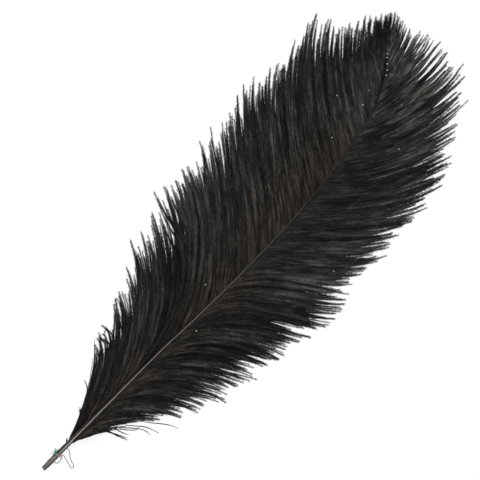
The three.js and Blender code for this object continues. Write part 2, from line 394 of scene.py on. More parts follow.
# Each row: distance along the shaft, how far tufts take over, share of the barb where they begin.
LEFT_OPEN = [
    (27, 0, 0.8), (55, 0.5, 0.8), (95, 0.65, 0.76), (120, 0.7, 0.74), (160, 0.85, 0.74),
    (190, 0.7, 0.74), (255, 0.7, 0.7), (290, 0.95, 0.55), (342, 0.9, 0.6), (360, 0.2, 0.7),
    (377, 0, 0.8),
]
RIGHT_OPEN = [
    (27, 0.3, 0.8), (60, 0.85, 0.76), (150, 0.9, 0.78), (230, 0.8, 0.78), (270, 0.75, 0.74),
    (310, 0.85, 0.64), (335, 1.0, 0.5), (358, 1.0, 0.42), (377, 0.3, 0.7),
]


def tufts_of(side, root):
    """The tuft that barbs of both coats gather in: its middle, and three numbers of its own."""
    rng = np.random.default_rng(TUFT_SEED + side)
    widths = rng.uniform(*TUFT_WIDTH, MOST_TUFTS)
    edges = VANE_START - 1 + np.concatenate([[0], np.cumsum(widths)])
    chance = rng.uniform(-1, 1, (MOST_TUFTS, 3))
    tuft = np.searchsorted(edges, root, side="right") - 1
    middle = (edges[tuft] + edges[tuft + 1]) / 2
    return middle[:, None], *(chance[tuft, k][:, None] for k in range(3))

# %% The slipped lock
# Each row: distance along the shaft, then how far the upper coat slips along it, in mm.
CROSSING_SWAY = [(88, 0), (90, 17), (104, 15), (122, 0)]
CROSSING_RISE = 1.2
CROSSING_FULL_RISE_AT = 10
CROSSING_SHADE = 0.007
# Painted shade: the lower coat is darker where the slipped lock has left a hollow.
HOLLOW_AT, HOLLOW_WIDTH, HOLLOW_PAINTED_SHADE = 92.0, 9.0, 0.15


def crossing_of(coat):
    """How far each barb of the upper left coat slips over its neighbours."""
    slips = coat.layer * (coat.side > 0)
    return slips * np.interp(coat.root, *np.transpose(CROSSING_SWAY))[:, None]

# %% [markdown]
# ## From root to tip
# A barb is followed on the combed sheet by two numbers: how far along the sheet's rows it stands,
# and what share of its row it has covered. Closing up with the strand and the wisp, a bow in the
# middle, a lean at the tip and a fine wave all change the first. The second is shorter at a wisp's
# edges, which makes it a point.

# %% Barb paths
LOOSE_CHANCE, LOOSE_NEAR_QUILL, NEAR_QUILL = 0.06, 0.12, 60
LOOSE_CLOSE = 0.1
RAGGED_BELOW = 80
MOST_RAGGED = 2
# Each row: distance along the shaft, share of the barb where its strand begins to close.
LEFT_GATHER = [(27, 0.84), (85, 0.8), (125, 0.72), (165, 0.74), (250, 0.74), (330, 0.7), (377, 0.8)]
RIGHT_GATHER = [(27, 0.84), (100, 0.8), (240, 0.8), (300, 0.66), (335, 0.5), (362, 0.45), (377, 0.75)]
COAT_GATHER = 0.06
# Each row: distance along the shaft, how far the locks of the upper coat sway along it, in mm.
COAT_SWAY = [(27, 1), (55, 4), (120, 5), (165, 2.5), (377, 1)]
SIDE_SWAY = {1: 1.0, -1: 0.6}
BASE_SWAY = 0.3


def is_loose(coat):
    """Which barbs hang apart from their strand: a few, and more of them near the quill."""
    near_quill = 1 - smoothstep(VANE_START, VANE_START + NEAR_QUILL, coat.root)[:, None]
    return coat.draw("loose", "each") < LOOSE_CHANCE + LOOSE_NEAR_QUILL * near_quill


def reach_of(coat):
    """How much of its row each barb covers. Short barbs are the more ragged ones."""
    pointed = coat.draw("point", "wisp") * np.abs(coat.place["wisp"]) ** 1.3
    ragged = np.clip(RAGGED_BELOW / coat.along(LEFT_BARBS, RIGHT_BARBS), 1, MOST_RAGGED)
    reach = coat.draw("reach", "wisp") * (1 + coat.draw("reach", "strand"))
    return reach * coat.draw("reach", "each") * (1 - ragged * pointed)


def gathering(coat, loose):
    """How far each barb has moved along the shaft to close up with its strand and its wisp."""
    begin = coat.along(LEFT_GATHER, RIGHT_GATHER) - COAT_GATHER * coat.layer
    begin = begin + coat.draw("gather", "wisp")
    to_strand = np.where(loose, LOOSE_CLOSE, coat.draw("close", "strand"))
    to_strand = to_strand * smoothstep(begin, 1.0, SHARE)
    to_wisp = coat.draw("close", "wisp") * np.clip((SHARE - begin) / (1 - begin), 0, 1) ** 1.2
    strand, wisp = coat.middle("strand"), coat.middle("wisp")
    return (strand - coat.root[:, None]) * to_strand + (wisp - strand) * to_wisp


def bends(coat, loose):
    """The bow of each barb's middle, the lean of its tip, and a fine wave."""
    bow = coat.draw("bow", "wisp") + coat.draw("bow", "strand")
    bow = bow * (BASE_SWAY + (1 - BASE_SWAY) * coat.layer) + coat.draw("bow", "each")
    lean = coat.draw("lean", "wisp") * SHARE**4 + coat.draw("lean", "strand") * SHARE**4
    tip_lean = np.where(loose, coat.draw("tip lean", "each"), coat.draw("tip lean", "strand"))
    lean = lean + tip_lean * SHARE**5
    size = coat.draw("wave", "strand")
    turns = SHARE * coat.draw("wave turns", "strand") + coat.draw("wave start", "strand")
    return bow, lean, size * np.sin(turns) * SHARE


def barb_paths(coat, crossing, openness, tuft):
    """The path of each barb on its sheet, and how far down its arch each point is."""
    loose = is_loose(coat)
    reach = reach_of(coat)
    gathered = gathering(coat, loose)
    bow, lean, wave = bends(coat, loose)
    tuft_middle, tuft_lean, tuft_reach, _ = tuft
    opens_at = coat.along(LEFT_OPEN, RIGHT_OPEN, 2)
    opened = smoothstep(opens_at + TUFT_START * tuft_reach, 1.0, SHARE)
    root = coat.root[:, None]
    in_tuft = (tuft_middle - root) * TUFT_CLOSE * opened + TUFT_LEAN * tuft_lean * SHARE**3
    distance = root + gathered * (1 - openness) + in_tuft * openness
    sway = coat.layer * along(COAT_SWAY, root) * coat.draw("sway", "lock") * SIDE_SWAY[coat.side]
    distance = distance + lean * (1 - LEAN_LOST * openness) + wave
    distance = distance + (bow + sway) * np.sin(np.pi * SHARE)
    distance = distance + crossing * np.sin(np.pi * SHARE) ** 2
    return on_sheet(coat.side, distance, SHARE * reach * (1 + TUFT_REACH * tuft_reach * openness))

# %% Height and tilt
VANE_ARCH = 3.0
COAT_RISE = 0.7
LOCK_RIB, WISP_RIB = 1.8, 0.9
RESTING_HEIGHT = 0.35
# Where a barb leaves the shaft, as shares of the shaft's radius beside and below its centre.
ROOT_ASIDE, ROOT_BELOW = 0.8, 0.5
LEAVES_SIDE_BY, LEAVES_DEPTH_BY = 0.25, 0.15
ROLL = {"lock": 0.5, "wisp": 0.35, "strand": 0.3}


def lift_barbs(coat, path, fall, crossing):
    """Raises the ribs of locks and wisps, and arches the whole vane."""
    rib = LOCK_RIB * (1 - coat.place["lock"] ** 2) + WISP_RIB * (1 - coat.place["wisp"] ** 2)
    layer = coat.draw("layer", "wisp") + coat.draw("layer", "strand") + coat.draw("layer", "each")
    arch = (VANE_ARCH + coat.draw("arch", "lock")) * 4 * fall * (1 - fall)
    over = CROSSING_RISE * np.minimum(crossing / CROSSING_FULL_RISE_AT, 1)
    path[..., 2] += (rib + layer + coat.layer * COAT_RISE + over) * SWELL + arch + RESTING_HEIGHT


def leave_shaft(coat, path):
    """Starts every barb at the shaft's side, a little below its centre line."""
    radius = along(SHAFT_RADIUS, coat.root)
    _, left, _ = shaft_axes(coat.root)
    aside = (left * (coat.side * radius * ROOT_ASIDE)[:, None])[:, None]
    path += aside * (1 - smoothstep(0, LEAVES_SIDE_BY, SHARE))[..., None]
    path[..., 2] -= (radius * ROOT_BELOW)[:, None] * (1 - smoothstep(0, LEAVES_DEPTH_BY, SHARE))


def tilt_of(coat):
    """How far each barb rolls over, in radians, so that the flanks of its groups face outward."""
    roll = sum(amount * coat.place[kind] for kind, amount in ROLL.items())
    return -roll * SWELL * coat.side + coat.draw("tilt", "each")

# %% [markdown]
# ## Tone
# Dyed barbs aren't all equally dark. Each point of a barb gets a tone from 0 to 1: the rows below
# set how it changes along the shaft and from the shaft outwards, partly the barbs' own tone and
# partly a painted sheen. The crests of wisps carry a painted highlight over darker flanks, one side
# of each lock is painted lighter than the other as if lit from that side, and the lower coat is
# painted darker than the upper one, a painted shade. On top of that each barb, strand and wisp
# drifts a little on its own. It could be painted in a texture, but a number on each point follows
# the barb wherever it bends.

# %% Tones and girths
BASE_TONE = 0.27
# Painted shade: the lower coat is darker than the upper one, which lies over it.
COAT_PAINTED_SHADE = 0.05
# Each row: distance along the shaft, tone added beside the shaft, tone added further out. The added
# tone is partly the barbs' own and partly a painted sheen.
LEFT_TONE_AND_SHEEN = [
    (27, -0.12, -0.12), (60, -0.05, -0.08), (105, -0.05, -0.04), (150, -0.01, 0), (240, 0.02, 0),
    (290, 0.09, 0.02), (335, 0.26, -0.02), (355, 0.24, -0.2), (377, 0.2, -0.24),
]
RIGHT_TONE_AND_SHEEN = [
    (27, -0.02, -0.03), (155, -0.03, -0.06), (188, -0.04, 0.2), (218, -0.04, 0.08),
    (250, -0.07, 0.14), (280, -0.06, 0.14), (310, 0.0, 0.24), (335, 0.08, 0.26), (357, 0.18, 0.28),
    (377, 0.12, 0.2),
]
RIGHT_CONTRAST = [(27, 1), (290, 1), (330, 1.7), (377, 1.5)]
# Which group drifts, over how many knots along the barb, and by how much.
DRIFTS = [("each", 18, 0.5), ("each", 5, 0.24), ("strand", 8, 0.16), ("wisp", 5, 0.12)]
# Painted highlights: the crest of each wisp is lighter than its flanks, and one side of each lock
# lighter than the other, as if lit from that side.
WISP_CREST_PAINTED_HIGHLIGHT, LOCK_SIDE_PAINTED_LIGHT, CREST_PAINTED_HIGHLIGHT = 0.6, 0.5, 0.14
# Each tuft is lighter or darker at random; in tufts the lower coat is also painted darker than the
# upper one, a painted shade.
TUFT_TONE, TUFT_COAT_PAINTED_SHADE = 0.17, 0.14
# Painted sheen: each stem is lighter than its barbules, and near the shaft the upper coat's stems get
# a painted gleam as well.
STEM_PAINTED_SHEEN, STEM_GLEAM = 0.1, 0.17
# Between which shares of the barb the outer tone, the painted crest highlights, the tufts and the
# painted gleam on the stems change over.
OUTER_FROM, CRESTS_FROM, TUFTS_FROM, GLEAM_ENDS = (0.15, 0.7), (0.1, 0.6), (0.2, 0.6), (0.25, 0.6)
GLEAM_FADES, GLEAM_LOST = (190, 290), 0.8
LEFT_GIRTH = [(27, 0.5), (38, 1), (330, 1), (352, 1.15), (377, 1.15)]
RIGHT_GIRTH = [(27, 0.6), (38, 1), (300, 1), (345, 0.75), (362, 0.75), (377, 1.1)]
GIRTH_SPREAD = (0.85, 1.1)
BASE_WEB = 1.5


def tone_of(coat, crossing, openness, tuft_tone):
    """How light each point of each barb is: its own tone, with a painted sheen, painted highlights on
    crests and painted shade on the lower coat and in the hollow.
    """
    # The lower coat gets a painted shade: it is darker than the upper one.
    tone = BASE_TONE + COAT_PAINTED_SHADE * coat.layer
    if coat.side > 0 and coat.layer == 0:
        # Painted shade in the hollow that the slipped lock has left.
        hollow = np.exp(-(((coat.root - HOLLOW_AT) / HOLLOW_WIDTH) ** 2))[:, None]
        tone = tone - HOLLOW_PAINTED_SHADE * hollow * np.sin(np.pi * SHARE) ** 2
    # The barbs' own tone along the vane, together with a painted sheen.
    near, far = (coat.along(LEFT_TONE_AND_SHEEN, RIGHT_TONE_AND_SHEEN, column) for column in (1, 2))
    tone = tone + near + (far - near) * smoothstep(*OUTER_FROM, SHARE) - CROSSING_SHADE * crossing
    uneven = sum(amount * (coat.drift(kind, knots) - 0.5) for kind, knots, amount in DRIFTS)
    contrast = along(RIGHT_CONTRAST, coat.root)[:, None] if coat.side < 0 else 1.0
    # Painted highlight along the crest of each wisp, and painted light on one side of each lock.
    painted_crest_light = (1 - 2 * np.abs(coat.place["wisp"])) * WISP_CREST_PAINTED_HIGHLIGHT
    painted_crest_light = painted_crest_light + LOCK_SIDE_PAINTED_LIGHT * coat.side * coat.place["lock"]
    tone = tone + contrast * uneven + CREST_PAINTED_HIGHLIGHT * painted_crest_light * smoothstep(*CRESTS_FROM, SHARE)
    # Each tuft's own random tone, and in tufts a painted shade on the lower coat.
    in_tuft = TUFT_TONE * tuft_tone + TUFT_COAT_PAINTED_SHADE * (coat.layer - 0.5)
    return np.clip(tone + openness * in_tuft * smoothstep(*TUFTS_FROM, SHARE), 0, 1)


def painted_stem_sheen(coat):
    """The painted sheen on each stem: how much lighter than its barbules it is, most near the shaft
    in the upper coat.
    """
    gleam = (1 - GLEAM_LOST * smoothstep(*GLEAM_FADES, coat.root))[:, None]
    return STEM_PAINTED_SHEEN + STEM_GLEAM * coat.layer * gleam * (1 - smoothstep(*GLEAM_ENDS, SHARE))

# %% One coat
def lay_coat(side, layer, rng):
    """One coat of a vane: the path, the tilt, the tone and the girth of each of its barbs."""
    coat = Coat(side, layer, rng)
    crossing = crossing_of(coat)
    openness = np.clip(coat.along(LEFT_OPEN, RIGHT_OPEN), 0, 1)
    tuft = tufts_of(side, coat.root)
    path, fall = barb_paths(coat, crossing, openness, tuft)
    lift_barbs(coat, path, fall, crossing)
    leave_shaft(coat, path)
    tilt = tilt_of(coat)
    tone = tone_of(coat, crossing, openness, tuft[-1])
    girth = coat.along(LEFT_GIRTH, RIGHT_GIRTH)[:, 0] * rng.uniform(*GIRTH_SPREAD, BARBS_PER_COAT)
    # The stem value is the painted sheen on each stem.
    return {
        "root": coat.root, "path": path, "tilt": tilt, "tone": tone, "stem": painted_stem_sheen(coat),
        "girth": girth, "web": girth * (BASE_WEB if layer == 0 else 1.0),
    }

# %% [markdown]
# ## Stray barbs
# Near the quill a plume is worn, and a few barbs have come away from the rest. Chance wouldn't put
# them in the right places, so each has a line of its own: a girth, and a few points in millimetres
# from the cut end of the quill.

# %% Strays and both vanes
# A stray's tone, and the painted sheen on its stem.
STRAY_TONE, STRAY_STEM_SHEEN = 0.2, 0.1
STRAYS = {
    1: [
        (1.0, [(39.0, 3.6, 2.2), (42.6, 6.4, 1.2), (44.8, 8.8, 0.5), (46.4, 10.6, 0.3)]),
        (0.8, [(40.5, 4.4, 2.2), (43.9, 7.2, 1.2), (46.0, 9.8, 0.5), (47.8, 11.9, 0.3)]),
        (0.5, [(57.0, 14.0, 2.0), (61.0, 18.2, 0.9), (62.8, 21.0, 0.4), (63.6, 23.8, 0.3)]),
        (0.5, [(23.5, 0.9, 2.4), (24.5, 1.8, 1.9), (25.6, 2.8, 1.2), (26.8, 3.8, 0.8)]),
        (0.4, [(23.9, 0.9, 2.3), (24.8, 1.7, 1.8), (25.7, 2.6, 1.1), (26.5, 3.5, 0.7)]),
        (0.25, [(24.2, 0.9, 2.3), (25.1, 1.7, 1.8), (25.9, 2.5, 1.1), (26.4, 3.1, 0.7)]),
    ],
    -1: [
        (0.6, [(40.0, -5.5, 1.6), (47.6, -10.4, 0.8), (52.0, -17.2, 0.3), (56.0, -25.2, 0.3)]),
        (0.6, [(43.0, -6.0, 1.9), (49.5, -11.6, 0.9), (52.4, -19.4, 0.3), (55.2, -26.6, 0.3)]),
        (0.5, [(46.0, -7.0, 2.0), (54.2, -14.0, 0.9), (56.2, -20.0, 0.4), (58.4, -24.6, 0.3)]),
        (0.4, [(55.0, -15.0, 1.6), (61.4, -23.0, 0.6), (64.6, -26.0, 0.3), (68.0, -26.2, 0.3)]),
        (0.4, [(57.0, -16.0, 1.6), (64.6, -24.6, 0.6), (68.4, -30.0, 0.3), (69.2, -35.4, 0.3)]),
        (0.4, [(62.0, -19.0, 1.6), (70.0, -28.4, 0.6), (72.6, -33.8, 0.3), (74.0, -38.6, 0.3)]),
        (0.4, [(73.0, -27.0, 1.6), (81.0, -36.8, 0.6), (84.0, -41.4, 0.3), (86.0, -46.0, 0.3)]),
    ],
}


def stray_path(points):
    """Evenly spaced points along the curve through a stray's own."""
    line = smooth_line(points)
    gone = distances_of(line)
    return np.stack([np.interp(SHARE[0] * gone[-1], gone, line[:, k]) for k in range(3)], -1)


def lay_strays(side):
    """Barbs near the quill that have come away from the rest, each along a line of its own."""
    path = np.stack([stray_path(points) for _, points in STRAYS[side]])
    flat = np.zeros(path.shape[:2])
    girth = np.array([girth for girth, _ in STRAYS[side]])
    # Strays' stems carry the same painted sheen as the others.
    return {
        "root": np.full(len(path), VANE_START), "path": path, "tilt": flat,
        "tone": flat + STRAY_TONE, "stem": flat + STRAY_STEM_SHEEN, "girth": girth, "web": girth,
    }


def lay_barbs(side, seed):
    """All the barbs of one vane."""
    rng = np.random.default_rng(seed)
    coats = [*(lay_coat(side, layer, rng) for layer in range(COATS)), lay_strays(side)]
    vane = {key: np.concatenate([coat[key] for coat in coats]) for key in coats[0]}
    return {**vane, "side": side, "rng": rng}


LEFT_SEED, RIGHT_SEED = 11, 23
vanes = [lay_barbs(1, LEFT_SEED), lay_barbs(-1, RIGHT_SEED)]
for vane in vanes:
    print("laid", len(vane["root"]), "barbs, highest at", round(vane["path"][..., 2].max(), 1), "mm")

# %% [markdown]
# ## Growing the barbules
# A barb is a thin tapering stem, here with three sides, and its barbules are narrow blades that
# leave it at a slant on both sides and bend towards its tip. Together they turn a hair-thin stem
# into a soft strand two to three millimetres wide. Close to the stem the barbules lie so thick that
# they read as one surface, and a narrow roof-shaped web stands for them there. Curves or particles
# would be lighter to write, but a mesh keeps its form in every program, so the blades are laid out
# as two faces each.

# %% Stems and blades
STEM_RADIUS = [(0, 0.22), (0.3, 0.17), (1, 0.04)]
WEB_HALF_WIDTH = [
    (0, 0.45), (0.06, 0.65), (0.3, 0.78), (0.6, 0.75), (0.8, 0.55), (0.92, 0.3), (1, 0.08),
]
WEB_DROP = 0.35
WEB_SPREAD = (0.8, 1.15)
BARBULE_GAP = 0.98
FEWEST_BARBULES = 4
BARBULE_CROWDING = 1.5
BARBULE_LENGTH = [(0, 0.5), (0.1, 2.6), (0.3, 3.4), (0.6, 3.2), (0.85, 2.7), (0.95, 2.1), (1, 1.4)]
BARBULE_SLANT = [(0, 22), (0.6, 22), (0.85, 28), (1, 30)]
BARBULE_WIDTH = [(0, 0.3), (0.6, 0.3), (0.85, 0.24), (1, 0.18)]
LENGTH_SPREAD, SLANT_SPREAD, WIDTH_SPREAD = (0.75, 1.15), (0.7, 1.35), (0.7, 1.2)
# Near the tip barbules clump in beads: how deep, then radians for each millimetre and strand.
BEAD_DEPTH, BEAD_TURNS, BEAD_SHIFT = 0.3, 2.2, 1.7
# The middle and the spread of how far a blade is raised and rolled, in radians.
RAISED, ROLLED = (0.08, 0.38), (0, 0.5)
BEND_SPREAD, DROOP = (0.1, 0.5), 0.08
ROOT_WIDTH = 0.6
BLADE_TONE_SPREAD = (-0.2, 0.2)
WEB_TONE = 0.8
FLOOR_CLEARANCE = 0.12
# Between which distances along the shaft the warm tint gives way to grey, on each side.
NEUTRAL_FROM = {1: (280, 360), -1: (150, 280)}


def strand_axes(path, tilt):
    """Along, across and out of the vane, at each point of each strand."""
    forward = unit(np.gradient(path, axis=1))
    across = unit(np.cross(np.array([0.0, 0, 1]), forward))
    out = np.cross(forward, across)
    c, s = np.cos(tilt)[..., None], np.sin(tilt)[..., None]
    return forward, across * c + out * s, out * c - across * s


def stems(path, across, out, tone, rows):
    """Three-sided tapering stems, one for each path."""
    count, steps, _ = path.shape
    share = np.linspace(0, 1, steps)
    radius = along(STEM_RADIUS, share)[None, :, None]
    rings = [
        path + radius * (np.cos(a) * across + np.sin(a) * out)
        for a in (np.pi / 2, np.pi * 7 / 6, np.pi * 11 / 6)
    ]
    points = np.stack(rings, axis=2).reshape(-1, 3)
    index = np.arange(count * steps * 3).reshape(count, steps, 3)
    turned = np.roll(index, -1, axis=2)
    quads = np.stack([index[:, :-1], turned[:, :-1], turned[:, 1:], index[:, 1:]], axis=-1)
    alongs = np.broadcast_to(share[None, :, None], (count, steps, 3)).ravel()
    tones = np.repeat(np.clip(tone, 0, 1).ravel(), 3)
    rail = np.linspace(0.1, 0.5, 3)[None, None]
    places = (np.broadcast_to(rows[:, None, None], (count, steps, 3)) + rail).ravel()
    return points, [quads.reshape(-1, 4)], alongs, tones, places


def webs(path, across, out, tone, girth, web, rows, rng):
    """The narrow roof-shaped web where barbules lie so close that they read as one surface."""
    count, steps, _ = path.shape
    share = np.linspace(0, 1, steps)
    spread = web[:, None] + (girth - web)[:, None] * smoothstep(0.6, 0.85, share)
    half = along(WEB_HALF_WIDTH, share)[None] * spread * rng.uniform(*WEB_SPREAD, (count, steps))
    left = path + (across - out * WEB_DROP) * half[..., None]
    right = path - (across + out * WEB_DROP) * half[..., None]
    points = np.stack([left, path, right], axis=2).reshape(-1, 3)
    index = np.arange(count * steps * 3).reshape(count, steps, 3)
    quads = [
        np.stack([index[:, :-1, k], index[:, 1:, k], index[:, 1:, k + 1], index[:, :-1, k + 1]], -1)
        for k in (0, 1)
    ]
    alongs = np.broadcast_to(share[None, :, None], (count, steps, 3)).ravel()
    tones = np.repeat(tone.ravel(), 3)
    rail = np.array([0.05, 0.5, 0.95])
    places = (np.broadcast_to(rows[:, None, None], (count, steps, 3)) + rail).ravel()
    return points, [q.reshape(-1, 4) for q in quads], alongs, tones, places


def spread_along(length, rng):
    """Which strand each barbule is on, how far along it, and on which hand of it."""
    per_strand = np.maximum((length / BARBULE_GAP).astype(int), FEWEST_BARBULES)
    strand = np.repeat(np.arange(len(length)), per_strand * 2)
    first = np.concatenate([[0], np.cumsum(per_strand * 2)[:-1]])
    rank = np.arange(len(strand)) - np.repeat(first, per_strand * 2)
    share = (rank // 2 + rng.uniform(0.1, 0.9, len(rank))) / per_strand[strand]
    return strand, 1 - (1 - share) ** BARBULE_CROWDING, np.where(rank % 2 == 0, 1.0, -1.0)


def blades(path, forward, across, out, tone, girth, rows, rng):
    """Barbules on both sides of every strand."""
    length = np.linalg.norm(np.diff(path, axis=1), axis=2).sum(1)
    strand, share, hand = spread_along(length, rng)
    last = path.shape[1] - 1
    k = np.minimum((share * last).astype(int), last - 1)
    f = (share * last - k)[:, None]

    def here(values):
        """The values of each barbule's own strand, where the barbule grows."""
        values = values if values.ndim == 3 else values[..., None]
        return values[strand, k] * (1 - f) + values[strand, k + 1] * f

    root, ahead, beside, above = here(path), here(forward), here(across), here(out)
    n = len(strand)
    size = along(BARBULE_LENGTH, share) * girth[strand] * rng.uniform(*LENGTH_SPREAD, n)
    beads = np.sin(share * length[strand] * BEAD_TURNS + strand * BEAD_SHIFT + hand)
    size = size * (1 + BEAD_DEPTH * beads * smoothstep(0.6, 0.9, share))
    slant = np.radians(along(BARBULE_SLANT, share) * rng.uniform(*SLANT_SPREAD, n))[:, None]
    raised = rng.normal(*RAISED, n)[:, None]
    rolled = rng.normal(*ROLLED, n)[:, None]
    beside = (beside * np.cos(raised) + above * np.sin(raised) * hand[:, None]) * hand[:, None]
    way = ahead * np.cos(slant) + beside * np.sin(slant)
    bent = unit(way + ahead * rng.uniform(*BEND_SPREAD, n)[:, None] - above * DROOP)
    flat = unit(beside * np.cos(slant) - ahead * np.sin(slant))
    width = flat * np.cos(rolled) + above * np.sin(rolled)
    middle = root + way * size[:, None] * 0.5
    end = middle + bent * size[:, None] * 0.5
    half = (along(BARBULE_WIDTH, share) / 2 * rng.uniform(*WIDTH_SPREAD, n))[:, None]
    corners = [
        root - width * half * ROOT_WIDTH, root + width * half * ROOT_WIDTH,
        middle + width * half, middle - width * half, end,
    ]
    points = np.stack(corners, axis=1)
    index = np.arange(n * 5).reshape(n, 5)
    reach = (size / np.maximum(length[strand], 1))[:, None] * np.array([[0, 0, 0.5, 0.5, 1.0]])
    alongs = np.clip(share[:, None] + reach, 0, 1).ravel()
    tones = np.clip(here(tone) + rng.uniform(*BLADE_TONE_SPREAD, n)[:, None], 0, 1)
    rail = 0.5 + hand[:, None] * np.array([[0.05, 0.12, 0.3, 0.2, 0.4]])
    places = (rows[strand][:, None] + rail).ravel()
    return (
        points.reshape(-1, 3), [index[:, :4], index[:, [3, 2, 4]]], alongs,
        np.repeat(tones.ravel(), 5), places,
    )


def grow(name, vane, chosen):
    """One piece of a vane, from the barbs chosen for it."""
    path, tilt, tone, stem, girth, web = (
        vane[key][chosen] for key in ("path", "tilt", "tone", "stem", "girth", "web")
    )
    forward, across, out = strand_axes(path, np.broadcast_to(tilt, path.shape[:2]))
    rows = np.arange(len(path), dtype=float)
    # Stems are lighter than the barb's tone by their painted sheen.
    parts = [
        webs(path, across, out, tone * WEB_TONE, girth, web, rows, vane["rng"]),
        stems(path, across, out, tone + stem, rows),
        blades(path, forward, across, out, tone, girth, rows, vane["rng"]),
    ]
    points, faces, alongs, tones, places = join_parts(parts)
    points[:, 2] = np.maximum(points[:, 2], FLOOR_CLEARANCE)
    low, high = NEUTRAL_FROM[vane["side"]]
    neutral = smoothstep(low, high, vane["root"][chosen])[places.astype(int)]
    return make_piece(
        name, points, faces, alongs, tones, places / len(path), smooth=False,
        fades=alongs + (1 - alongs) * neutral,
    )


VANE_CUTS = [VANE_START, 120, 190, 270, SHAFT_LENGTH + 1]
barb_pieces = []
for vane in vanes:
    hand_name = "left" if vane["side"] > 0 else "right"
    for part, low, high in zip(("lower", "middle", "upper", "tip"), VANE_CUTS, VANE_CUTS[1:]):
        chosen = (vane["root"] >= low) & (vane["root"] < high)
        piece = grow(f"{hand_name}_barbs_{part}", vane, chosen)
        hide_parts("feather")
        barb_pieces.append(piece)

# %% [markdown]
# ## Quill and shaft
# The quill is a hollow tube, cut across at its end. Past the first barbs it becomes the shaft,
# which is solid, oval, and runs out to a hair in the tuft. One sweep makes both: an oval ring is
# carried along the shaft's line and shrunk by its radius, and at the cut the ring turns inward
# to leave a rim round a short hollow. A growing feather sheds its sheath in small flakes, and a few
# pale ones are still caught on the barbs. They are so small that they are part of this mesh.

# %% Tones of the shaft
BARE_QUILL = 14.0
STRIPE_ANGLE = 102
STRIPE_HALF_WIDTH = 9
# Each row: distance along the shaft, how pale the stripe on its crown is. The stripe is partly the
# shaft's own pale crown and partly a painted highlight.
STRIPE_PALENESS_AND_HIGHLIGHT = [
    (14, 0.2), (17, 0.8), (45, 0.8), (80, 0.7), (120, 0.5), (170, 0.32), (215, 0.2),
    (245, 0.1), (270, 0.03), (377, 0.0),
]
# Angles run in degrees from the shaft's left over its crown to its right.
# Painted light on the shaft's flanks: a band on the right flank and a fainter one on the left, both
# fading out along the shaft.
RIGHT_FLANK_PAINTED_LIGHT, RIGHT_FLANK_ANGLE, RIGHT_FLANK_WIDTH = 0.11, 150, 25
LEFT_FLANK_PAINTED_LIGHT, LEFT_FLANK_ANGLE = 0.04, 70
FLANKS_FADE = (40, 120)
# The bare quill's grey and its random wear are its own colour; its lighter crown is a painted
# highlight.
WORN_TONE, BARE_CROWN_PAINTED_HIGHLIGHT = 0.05, 0.19
RING_WEAR, POINT_WEAR = (0.75, 1.25), (0.85, 1.15)


def shaft_tone(distance, angle, rng):
    """How pale the shaft is: a crown stripe that is partly painted highlight, painted light on its
    flanks, and a worn grey on the bare quill with a painted highlight on its crown.
    """
    degrees = np.degrees(angle)
    stripe = np.exp(-(((degrees - STRIPE_ANGLE) / STRIPE_HALF_WIDTH) ** 2))
    right_flank = np.exp(-(((degrees - RIGHT_FLANK_ANGLE) / RIGHT_FLANK_WIDTH) ** 2))
    # Painted light on the flanks, fading out along the shaft.
    flanks = RIGHT_FLANK_PAINTED_LIGHT * right_flank + LEFT_FLANK_PAINTED_LIGHT * (degrees < LEFT_FLANK_ANGLE)
    # A worn grey, with a painted highlight along the top of the bare quill.
    worn = WORN_TONE + BARE_CROWN_PAINTED_HIGHLIGHT * np.clip(np.sin(angle), 0, 1) ** 5
    worn = worn * rng.uniform(*RING_WEAR, (len(distance), 1)) * rng.uniform(*POINT_WEAR, angle.shape)
    bare = 1 - smoothstep(BARE_QUILL - 2, BARE_QUILL + 2, distance)[:, None]
    fade = 1 - smoothstep(*FLANKS_FADE, distance)[:, None]
    # The crown stripe: the shaft's pale crown, partly a painted highlight.
    strength = along(STRIPE_PALENESS_AND_HIGHLIGHT, distance)[:, None]
    return np.clip(worn * bare + (1 - bare) * (stripe * strength + flanks * fade), 0, 1)

# %% Flecks of sheath
# Each fleck: how far ahead of the cut end of the quill it lies, and how far to the left, in mm.
FLECKS = [
    (303, 21), (330, -17), (334, 22), (326, 39), (344, 26), (353, 3), (170, 11), (143, -7),
    (371, 35), (369, 33), (366, 30), (363, 27), (360, 25), (242, 64), (286, -50), (239, -45),
]
FLECK_SEED = 9
FLECK_SIZE, FLECK_SPREAD = (0.58, 0.42, 0.2), (0.8, 1.3)
FLECK_SEARCH, FLECK_ABOVE = 2.0, 0.6
# Six corners: two along, two across, one above and one below.
FLECK_FACES = [
    [0, 1, 4], [1, 2, 4], [2, 3, 4], [3, 0, 4], [1, 0, 5], [2, 1, 5], [3, 2, 5], [0, 3, 5],
]


def fleck_parts():
    """Flakes of the shaft's sheath, caught on top of the barbs."""
    rng = np.random.default_rng(FLECK_SEED)
    barbs = np.concatenate([vane["path"].reshape(-1, 3) for vane in vanes])
    parts = []
    for place in FLECKS:
        near = barbs[np.linalg.norm(barbs[:, :2] - place, axis=1) < FLECK_SEARCH]
        turn = rng.uniform(0, 2 * np.pi)
        long, wide, thick = np.array(FLECK_SIZE) * rng.uniform(*FLECK_SPREAD)
        along_it = np.array([np.cos(turn), np.sin(turn), 0]) * long
        across_it = np.array([-np.sin(turn), np.cos(turn), 0]) * wide
        middle = np.array([*place, near[:, 2].max() + FLECK_ABOVE])
        up = np.array([0, 0, thick])
        points = middle + np.array([along_it, across_it, -along_it, -across_it, up, -up])
        half = np.full(6, 0.5)
        parts.append((points, [np.array(FLECK_FACES)], half, np.ones(6), half))
    return parts

# %% Shaft mesh
SHAFT_SIDES = 36
SHAFT_RINGS = 240
SHAFT_SEED = 5
RIM_SHARE = 0.72
